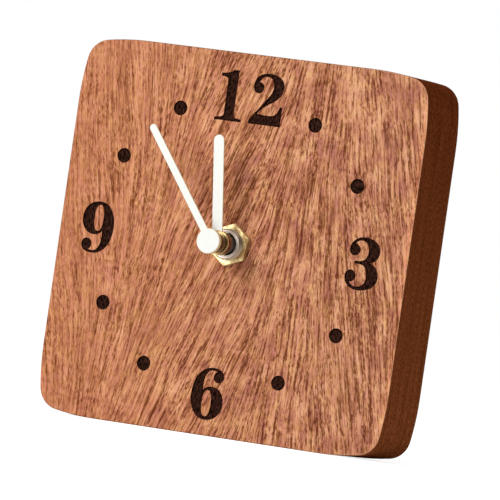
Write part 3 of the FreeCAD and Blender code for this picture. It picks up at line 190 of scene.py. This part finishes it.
def wood():
    f = Finish("sapele_wood", Specular_IOR_Level=0.0)
    axes = x, y, z = f.point()
    up = f.math("SUBTRACT", z, SHAFT_Z)
    # interlocked grain: it leans to the right through the middle and to the left near both sides
    shift = f.math("MULTIPLY", up, f.between(x, -20.0, 0.0, -0.19, 0.0))
    column = f.between(f.math("ADD", x, shift), -HALF_SIDE, HALF_SIDE)
    lean = f.ramp(column, [(0.0, 0.38), (0.065, 0.27), (0.15, 0.38), (0.235, 0.56), (0.33, 0.72), (0.43, 0.84),
                           (0.55, 0.81), (0.65, 0.56), (0.75, 0.43), (0.85, 0.28), (0.95, 0.29)], "CARDINAL")
    lean = f.math("SUBTRACT", lean, 0.5)
    slow = f.noise(axes, (0.12, 0.12, 0.05), 1.0)
    wave = f.math("MULTIPLY", f.math("SUBTRACT", slow, 0.5), 2.0)
    # two sets of overlapping rows, in each of which the fibres run straight
    rows = []
    for offset in (0.0, 0.5):
        count = f.math("FLOOR", f.math("MULTIPLY_ADD", z, 1 / ROW, offset))
        middle = f.math("MULTIPLY", f.math("SUBTRACT", count, offset - 0.5), ROW)
        local = f.math("SUBTRACT", z, middle)
        line = f.math("SUBTRACT", f.math("ADD", x, wave), f.math("MULTIPLY", lean, local))
        share = f.between(f.math("ABSOLUTE", local), 0.0, ROW / 2, 1.0, 0.0, smooth=True)
        depth = f.math("MULTIPLY_ADD", count, 37.0, y)
        rows.append((line, depth, share))
    power = f.math("ADD", f.math("POWER", rows[0][2], 2.0), f.math("POWER", rows[1][2], 2.0))
    gain = f.math("DIVIDE", 1.0, f.math("SQRT", power))

    def fibres(across, along, detail, roughness):
        """Noise drawn out along the fibres, about 0.5."""
        total = None
        for line, depth, share in rows:
            fleck = f.noise((line, depth, z), (across, across, along), detail, roughness)
            part = f.math("MULTIPLY", f.math("SUBTRACT", fleck, 0.5), share)
            total = part if total is None else f.math("ADD", total, part)
        return f.math("MULTIPLY_ADD", total, gain, 0.5)

    # broad patches, long lines and short flecks, all of which are quieter towards the left
    blotch = fibres(0.3, 0.14, 3.0, 0.6)
    lines = fibres(1.25, 0.04, 2.0, 0.85)
    pepper = fibres(3.0, 0.85, 2.0, 0.6)
    patch = f.noise(axes, (0.15, 0.15, 0.10), 2.0, 0.6)
    cloud = f.math("MULTIPLY_ADD", f.math("SUBTRACT", blotch, 0.5), f.between(x, -40.0, 0.0, 0.42, 1.12), 0.5)
    tone = f.ramp(cloud, [(0.34, linear(164, 100, 76)), (0.48, linear(182, 117, 84)), (0.64, linear(196, 134, 97))])
    rough = f.math("MULTIPLY", f.between(patch, 0.4, 0.62, 0.55, 1.05), f.between(x, -40.0, 0.0, 0.72, 1.0))
    grit = f.math("MULTIPLY", f.math("SUBTRACT", pepper, 0.5), rough)
    combed = f.math("MULTIPLY", f.math("SUBTRACT", lines, 0.5), f.between(x, -45.0, -5.0, 0.56, 1.04))
    fine = f.math("ADD", f.math("ADD", combed, grit), 0.5)
    light = f.ramp(fine, [(0.34, (0.36, 0.26, 0.2, 1.0)), (0.5, 1.0), (0.65, (1.4, 1.6, 1.76, 1.0))])
    face = f.tinted(tone, light)
    # some fibres are more red, others more yellow
    tint = f.ramp(fibres(1.3, 0.35, 2.0, 0.7), [(0.35, (1.0, 0.957, 1.1, 1.0)), (0.65, (1.0, 1.047, 0.86, 1.0))])
    face = f.tinted(face, tint)
    # and the board changes a little from one side to the other, and is paler in a narrow strip along its right edge
    wide = f.ramp(f.between(x, -HALF_SIDE, HALF_SIDE), [
        (0.0, (1.01, 0.98, 0.955, 1.0)), (0.3, (1.0, 1.005, 0.995, 1.0)), (0.55, (0.95, 0.97, 0.98, 1.0)),
        (0.93, (0.95, 1.01, 1.05, 1.0)), (0.985, (0.99, 1.05, 1.08, 1.0)), (0.99, 1.14)])
    face = f.tinted(face, wide)
    # the sawn and sanded sides are darker and redder than the face, partly their own stain and partly painted
    # shade, and darker towards the top
    side = f.mix(f.between(z, 0.0, 2 * HALF_SIDE), linear(147, 79, 42), linear(116, 55, 25))
    pores = f.noise(axes, (2.2, 2.2, 1.1), 3.0, 0.75)
    rays = f.noise(axes, (0.55, 0.55, 0.05))
    end = f.math("MULTIPLY_ADD", rays, 0.24, f.math("SUBTRACT", pores, 0.12))
    side = f.tinted(side, f.ramp(end, [
        (0.36, (0.5, 0.42, 0.36, 1.0)), (0.5, 1.0), (0.64, (1.5, 1.62, 1.8, 1.0))]))
    turned = f.facing(1)
    whole = f.mix(f.between(turned, 0.55, 0.8, smooth=True), side, face)
    # the rounded edges towards the right are painted pale: a painted highlight where they catch the light
    painted_edge_highlight = f.ramp(turned, [(0.6, 0.0), (0.78, 0.5), (0.96, 0.36), (0.998, 0.0)])
    painted_edge_highlight = f.math("MULTIPLY", painted_edge_highlight, f.between(x, 20.0, 44.0))
    whole = f.mix(painted_edge_highlight, whole, linear(226, 172, 128))
    # the numerals and dots are burnt in
    away = f.radius(x, z)
    sunk = f.math("MULTIPLY", f.between(y, FACE_Y + 0.04, FACE_Y + 0.1), f.math("LESS_THAN", y, FACE_Y + 0.7))
    dial = f.math("MULTIPLY", f.between(away, MARKS_FROM, MARKS_FROM + 0.5),
                  f.between(away, MARKS_TO, MARKS_TO - 0.5))
    burnt = f.math("MULTIPLY", sunk, dial)
    char = f.mix(f.between(pepper, 0.42, 0.6), linear(16, 7, 5), linear(62, 36, 28))
    f.set("Base Color", f.mix(burnt, whole, char))
    f.set("Roughness", f.math("ADD", f.between(fine, 0.3, 0.7, 0.46, 0.58), f.math("MULTIPLY", burnt, 0.3)))
    f.bump(fine, 0.05)
    return f.material


def enamel():
    """White paint, thinner and yellower on the edges."""
    f = Finish("white_enamel", Roughness=0.4, Specular_IOR_Level=0.2)
    axes = f.point()
    cloud = f.noise(axes, 1.2, 3.0)
    paint = f.mix(f.between(cloud, 0.35, 0.65), linear(231, 232, 225), linear(235, 236, 230))
    f.set("Base Color", f.mix(f.between(f.facing(1), 0.45, 0.99), linear(240, 216, 168), paint))
    f.bump(f.noise(axes, 3.0), 0.01)
    return f.material


def brown_brass():
    """Turned brass painted brown all over, as painted shade and a painted reflection of the wooden dial, with
    patches of stain.
    """
    f = Finish("dark_brass", Metallic=1.0)
    axes = x, y, z = f.point()
    stain = f.noise(axes, 0.7, 3.0, 0.6)
    f.set("Base Color", f.mix(f.between(stain, 0.42, 0.66), linear(104, 78, 52), linear(72, 50, 34)))
    f.set("Roughness", f.between(stain, 0.35, 0.7, 0.24, 0.38))
    f.bump(f.lathe_rings(f.radius(x, z), y, 9.0), 0.006)
    return f.material


def faced_brass():
    """The nut: faced on a lathe, so what it mirrors is drawn out from the middle."""
    f = Finish("faced_brass", Metallic=1.0, Anisotropic=0.85, Anisotropic_Rotation=0.25)
    axes = x, y, z = f.point()
    stain = f.noise(axes, 0.7, 3.0, 0.6)
    # it is painted darker and duller towards its right: painted shade on top of its own tarnish
    stain = f.math("ADD", stain, f.between(x, 1.0, 4.2, 0.0, 0.18))
    f.set("Base Color", f.mix(f.between(stain, 0.44, 0.72), linear(240, 224, 170), linear(168, 132, 86)))
    f.set("Roughness", f.between(stain, 0.35, 0.7, 0.32, 0.44))
    f.set("Tangent", f.add("ShaderNodeTangent", direction_type="RADIAL", axis="Y").outputs[0])
    f.bump(f.lathe_rings(f.radius(x, z), y, 9.0), 0.004)
    return f.material


def collet_brass():
    """Turned brass that is bright on its front rim, with its side painted brown as painted shade and a painted
    reflection of the wood.
    """
    f = Finish("hour_collet_brass", Metallic=1.0, Roughness=0.22)
    axes = f.point()
    stain = f.noise(axes, 0.9, 3.0, 0.6)
    brown = f.mix(f.between(stain, 0.35, 0.65), linear(142, 110, 84), linear(110, 83, 62))
    f.set("Base Color", f.mix(f.between(f.facing(1), 0.4, 0.8), brown, linear(240, 214, 154)))
    f.bump(f.noise(axes, (0.5, 9.0, 0.5)), 0.005)
    return f.material


def threaded_steel():
    """Plated bush: a bore painted near-black as painted shade, bright rings on its end, and browner towards the
    thread.
    """
    f = Finish("threaded_steel")
    axes = x, y, z = f.point()
    radius = f.radius(x, z)
    plate, dirt = linear(252, 242, 230), linear(128, 110, 98)
    # inside a radius of 3 mm the bore is painted near-black and not metal: painted shade in the recess
    f.set("Metallic", f.between(radius, 3.0, 3.05))
    rings = f.ramp(f.between(radius, 2.4, 4.1), [
        (0.0, linear(42, 32, 30)), (0.35, linear(58, 45, 42)), (0.38, plate), (0.47, plate), (0.52, dirt),
        (0.58, plate), (0.75, linear(226, 212, 200)), (0.8, linear(112, 94, 84)), (0.86, linear(172, 154, 132)),
        (1.0, linear(150, 130, 104))])
    stain = f.noise(axes, 0.8, 3.0, 0.6)
    f.set("Base Color", f.mix(f.between(stain, 0.5, 0.75, 0.0, 0.5), rings, linear(170, 150, 136)))
    f.set("Roughness", f.between(stain, 0.35, 0.7, 0.4, 0.52))
    f.bump(f.lathe_rings(radius, y, 7.0), 0.012)
    return f.material


def sheet_metal(name, base, dull, roughness):
    """Rolled strip or drawn can, with fine marks along x."""
    f = Finish(name, Metallic=1.0)
    axes = f.point()
    marks = f.noise(axes, (0.6, 6.0, 6.0), 3.0, 0.6)
    stain = f.noise(axes, 0.5, 3.0, 0.6)
    f.set("Base Color", f.mix(f.between(stain, 0.4, 0.68), base, dull))
    f.set("Roughness", f.between(marks, 0.3, 0.7, roughness - 0.05, roughness + 0.12))
    f.bump(marks, 0.008)
    return f.material


def moulded(name, base, worn, roughness, grain=4.0, depth=0.03):
    """Plastic with a fine spark-eroded grain that is a little polished in places."""
    f = Finish(name)
    axes = f.point()
    pits = f.noise(axes, grain, 3.0, 0.6)
    polish = f.noise(axes, 0.12, 3.0, 0.55)
    f.set("Base Color", f.mix(f.between(polish, 0.4, 0.7), base, worn))
    f.set("Roughness", f.between(polish, 0.35, 0.7, roughness, roughness - 0.14))
    f.bump(pits, depth)
    return f.material


def copper_wire():
    """Turns of lacquered wire that lie side by side along x."""
    f = Finish("copper_wire", Metallic=1.0)
    axes = x, _, _ = f.point()
    turns = f.math("PINGPONG", f.math("MULTIPLY", x, 7.0), 1.0)
    uneven = f.noise(axes, (1.5, 0.8, 0.8), 3.0)
    f.set("Base Color", f.mix(f.between(uneven, 0.35, 0.65), linear(196, 104, 62), linear(164, 78, 44)))
    f.set("Roughness", f.between(turns, 0.0, 1.0, 0.42, 0.28))
    f.bump(f.math("MULTIPLY_ADD", uneven, 0.5, turns), 0.04)
    return f.material


def circuit_green():
    """Solder mask over raised tracks that break off here and there."""
    f = Finish("board_green", Roughness=0.36)
    axes = _, _, z = f.point()
    lanes = f.math("PINGPONG", f.math("MULTIPLY", z, 0.55), 1.0)
    broken = f.noise(axes, (0.5, 0.5, 0.18), 1.0)
    track = f.math("MULTIPLY", f.between(lanes, 0.58, 0.66), f.between(broken, 0.47, 0.5))
    cloud = f.noise(axes, 0.4, 3.0)
    mask = f.mix(f.between(cloud, 0.35, 0.65), linear(24, 88, 50), linear(34, 102, 60))
    f.set("Base Color", f.mix(track, mask, linear(70, 142, 84)))
    f.bump(track, 0.035)
    return f.material


def cell_sleeve():
    """Shrunk film, green with a gold end and a gold line, and bare metal at both tips."""
    f = Finish("cell_sleeve", Metallic=0.55)
    axes = x, _, _ = f.point()
    brushed = f.noise(axes, (0.4, 5.0, 5.0), 3.0)
    cloud = f.noise(axes, 0.25)
    green = f.mix(f.between(cloud, 0.35, 0.65), linear(26, 66, 52), linear(34, 78, 60))
    gold = f.mix(f.between(brushed, 0.3, 0.7), linear(186, 148, 92), linear(206, 170, 112))
    steel = f.mix(f.between(brushed, 0.3, 0.7), linear(170, 168, 164), linear(196, 194, 190))
    body = f.mix(f.between(x, 10.9, 11.0), green, gold)
    line = f.math("MULTIPLY", f.between(x, 8.6, 8.65), f.between(x, 9.4, 9.35))
    body = f.mix(line, body, gold)
    bare = f.math("MAXIMUM", f.between(x, 23.6, 23.65), f.between(x, -24.9, -24.95))
    f.set("Base Color", f.mix(bare, body, steel))
    f.set("Roughness", f.between(brushed, 0.3, 0.7, 0.26, 0.36))
    f.bump(f.math("ADD", brushed, f.math("MULTIPLY", bare, -6.0)), 0.01)
    return f.material


def resin():
    """A drop of black resin over the chip, with a soft uneven surface."""
    f = Finish("black_resin", Roughness=0.2)
    swell = f.noise(f.point(), 0.5)
    f.set("Base Color", f.mix(swell, linear(14, 14, 15), linear(28, 27, 27)))
    f.bump(swell, 0.12)
    return f.material


FINISHES = {
    "wood": wood(),
    "polished_brass": faced_brass(),
    "dark_brass": brown_brass(),
    "nickel": sheet_metal("nickel_strip", linear(206, 202, 198), linear(176, 170, 162), 0.3),
    "white_enamel": enamel(),
    "black_rubber": moulded("black_rubber", linear(30, 29, 29), linear(40, 39, 38), 0.8, 2.0),
    "black_plastic": moulded("black_plastic", linear(34, 34, 36), linear(40, 40, 42), 0.5),
    "grey_plastic": moulded("grey_plastic", linear(150, 152, 156), linear(166, 168, 172), 0.5),
    "white_plastic": moulded("white_plastic", linear(232, 230, 222), linear(240, 238, 231), 0.42),
    "magnet": moulded("magnet", linear(62, 62, 66), linear(80, 80, 84), 0.55, 3.0, 0.02),
    "soft_iron": sheet_metal("soft_iron", linear(172, 172, 172), linear(140, 138, 134), 0.36),
    "copper_wire": copper_wire(),
    "board_green": circuit_green(),
    "black_resin": resin(),
    "cell_sleeve": cell_sleeve(),
}
# pieces that look unlike the rest of their slot
OWN_FINISHES = {
    "hour_hand_collet": collet_brass(),
    "threaded_bush": threaded_steel(),
    "hour_wheel": moulded("pipe_plastic", linear(82, 72, 64), linear(98, 86, 76), 0.5),
}
for part in frame["record"]["subparts"]:
    finish = OWN_FINISHES.get(part["node"], FINISHES[part["material_slot"]])
    for place in NODES[part["node"]].material_slots:
        place.material = finish


# ---------------------------------------------------------------- moulded marks on the back
COVER_BACK = 7.2  # y of the cover's back
SINK = 0.05  # how deep a mark's foot stands in the cover
KNOB = (15.8, 49.31)
RUBBED = moulded("rubbed_marks", linear(84, 84, 88), linear(66, 66, 70), 0.4)


def raised(name, outline, height=0.3):
    """A mark moulded on the cover's back, from its outline of x and z in millimetres."""
    shape = bmesh.new()
    base = [shape.verts.new((x / MM, (COVER_BACK - SINK) / MM, z / MM)) for x, z in outline]
    face = shape.faces.new(base)
    top = bmesh.ops.extrude_face_region(shape, geom=[face])["geom"]
    rise = (0, (height + SINK) / MM, 0)
    bmesh.ops.translate(shape, vec=rise, verts=[v for v in top if isinstance(v, bmesh.types.BMVert)])
    bmesh.ops.recalc_face_normals(shape, faces=shape.faces)
    crest = (COVER_BACK + height) / MM - 1e-6
    rim = [e for e in shape.edges if min(v.co.y for v in e.verts) > crest]
    bmesh.ops.bevel(shape, geom=rim, offset=0.06 / MM, segments=2, affect="EDGES")
    mesh = bpy.data.meshes.new(name)
    shape.to_mesh(mesh)
    shape.free()
    mesh.materials.append(RUBBED)
    piece = bpy.data.objects.new(name, mesh)
    bpy.context.scene.collection.objects.link(piece)
    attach(piece, "case")


def stadium(middle, reach, half, upright=False):
    """A bar with round ends."""
    turns = [math.radians(-90 + 15 * i) for i in range(13)]
    right = [(reach + half * math.cos(a), half * math.sin(a)) for a in turns]
    bar = right + [(-x, -z) for x, z in right]
    if upright:
        bar = [(-z, x) for x, z in bar]
    return [(middle[0] + x, middle[1] + z) for x, z in bar]


def cross(middle, reach, half):
    """Two bars across each other."""
    near = [(half, half), (half, reach), (-half, reach), (-half, half), (-reach, half), (-reach, -half),
            (-half, -half), (-half, -reach), (half, -reach), (half, -half), (reach, -half), (reach, half)]
    return [(middle[0] + x, middle[1] + z) for x, z in near]


def turn_arrow(middle, radius, half, first, last, head):
    """A curved bar with an arrowhead at each end, for the way the knob turns."""
    tip = 16  # degrees from the end of the bar to the point of its arrowhead

    def at(distance, angle):
        return (middle[0] + distance * math.cos(math.radians(angle)),
                middle[1] + distance * math.sin(math.radians(angle)))
    steps = [first + (last - first) * i / 24 for i in range(25)]
    outer = [at(radius + half, a) for a in steps]
    inner = [at(radius - half, a) for a in reversed(steps)]
    end = [at(radius + head, last), at(radius, last + tip), at(radius - head, last)]
    start = [at(radius - head, first), at(radius, first - tip), at(radius + head, first)]
    return outer + end + inner + start


raised("polarity_plus", cross((24.0, 43.2), 1.7, 0.4))
raised("polarity_minus", stadium((-24.0, 43.2), 1.3, 0.4))
raised("setting_arrow", turn_arrow(KNOB, 7.6, 0.35, 35, 145, 1.0))
for number, x in enumerate((-15.0, 15.0), 1):
    raised(f"top_latch_{number}", stadium((x, 76.2), 2.4, 0.7), 0.5)
for number, x in enumerate((-26.2, 26.2), 1):
    raised(f"side_latch_{number}", stadium((x, 61.0), 2.4, 0.7, upright=True), 0.5)


# ---------------------------------------------------------------- studio
def seen_by(tree, *rays):
    """One for rays of the named kinds and zero for all others."""
    path = tree.nodes.new("ShaderNodeLightPath")
    seen = path.outputs[rays[0]]
    for ray in rays[1:]:
        either = tree.nodes.new("ShaderNodeMath")
        either.operation = "MAXIMUM"
        tree.links.new(seen, either.inputs[0])
        tree.links.new(path.outputs[ray], either.inputs[1])
        seen = either.outputs[0]
    return seen


def card(name, corners, material):
    """A flat piece of the studio with four corners."""
    mesh = bpy.data.meshes.new(name)
    mesh.from_pydata(corners, [], [(0, 1, 2, 3)])
    mesh.materials.append(material)
    piece = bpy.data.objects.new(name, mesh)
    bpy.context.scene.collection.objects.link(piece)
    return piece


def floor():
    """White as the camera sees it, apart from the object's own soft shadow."""
    material = bpy.data.materials.new("studio_floor")
    material.use_nodes = True
    tree = material.node_tree
    tree.nodes.clear()
    paint = tree.nodes.new("ShaderNodeBsdfDiffuse")
    paint.inputs["Color"].default_value = (0.72, 0.72, 0.72, 1.0)
    glow = tree.nodes.new("ShaderNodeEmission")
    level = tree.nodes.new("ShaderNodeMath")
    level.operation = "MULTIPLY"
    level.inputs[1].default_value = 0.78
    tree.links.new(seen_by(tree, "Is Camera Ray", "Is Glossy Ray"), level.inputs[0])
    tree.links.new(level.outputs[0], glow.inputs["Strength"])
    both = tree.nodes.new("ShaderNodeAddShader")
    tree.links.new(paint.outputs[0], both.inputs[0])
    tree.links.new(glow.outputs[0], both.inputs[1])
    out = tree.nodes.new("ShaderNodeOutputMaterial")
    tree.links.new(both.outputs[0], out.inputs["Surface"])
    reach = 6.0
    card("studio_floor", [(-reach, -reach, 0), (reach, -reach, 0), (reach, reach, 0), (-reach, reach, 0)], material)


def flag():
    """Dark card to the right of the camera, which only shows in what the metal reflects."""
    material = bpy.data.materials.new("studio_flag")
    material.use_nodes = True
    material.node_tree.nodes["Principled BSDF"].inputs["Base Color"].default_value = (0.02, 0.018, 0.016, 1.0)
    near, far, top = (0.3, -2.7), (1.6, 0.4), 1.8
    sheet = card("studio_flag", [(*near, 0.0), (*far, 0.0), (*far, top), (*near, top)], material)
    sheet.visible_camera = sheet.visible_diffuse = sheet.visible_transmission = sheet.visible_shadow = False


def world():
    """White as the camera and the metal see it, and dimmer as a light."""
    studio = bpy.data.worlds.new("studio")
    studio.use_nodes = True
    tree = studio.node_tree
    tree.nodes.clear()
    level = tree.nodes.new("ShaderNodeMapRange")
    level.inputs["To Min"].default_value = 0.36
    level.inputs["To Max"].default_value = 1.0
    clear = seen_by(tree, "Is Camera Ray", "Is Glossy Ray", "Is Transmission Ray")
    tree.links.new(clear, level.inputs["Value"])
    sky = tree.nodes.new("ShaderNodeBackground")
    sky.inputs["Color"].default_value = (1.0, 1.0, 1.0, 1.0)
    tree.links.new(level.outputs[0], sky.inputs["Strength"])
    out = tree.nodes.new("ShaderNodeOutputWorld")
    tree.links.new(sky.outputs[0], out.inputs["Surface"])
    bpy.context.scene.world = studio


def lamp(name, place, size, power):
    """A square lamp that points at the middle of the clock."""
    target = Vector((0.0, 0.0, SHAFT_Z / MM))
    light = bpy.data.lights.new(name, "AREA")
    light.shape = "SQUARE"
    light.size = size
    light.energy = power
    holder = bpy.data.objects.new(name, light)
    holder.location = place
    holder.rotation_euler = (target - Vector(place)).to_track_quat("-Z", "Y").to_euler()
    bpy.context.scene.collection.objects.link(holder)


def camera():
    """Stands where the photographer did, in front and to the right, with a long lens."""
    place = (0.6575, -1.43385, 0.030116)
    forward = Vector((-0.41647618, 0.90906319, 0.01231702)).normalized()
    up = Vector((-0.125221, -0.07077671, 0.98960111))
    right = forward.cross(up).normalized()
    up = right.cross(forward)
    data = bpy.data.cameras.new("camera")
    data.sensor_width = 36.0
    data.lens = 434.781
    data.clip_start, data.clip_end = 0.1, 50.0
    holder = bpy.data.objects.new("camera", data)
    turn = Matrix((right, up, -forward)).transposed().to_4x4()
    holder.matrix_world = Matrix.Translation(place) @ turn
    bpy.context.scene.collection.objects.link(holder)
    bpy.context.scene.camera = holder


floor()
flag()
world()
lamp("key_light", (-0.74, -1.96, 0.94), 1.1, 35.2)
lamp("fill_light", (0.4, -2.2, 0.7), 1.4, 10.0)
camera()
bpy.context.scene.view_settings.view_transform = "Standard"
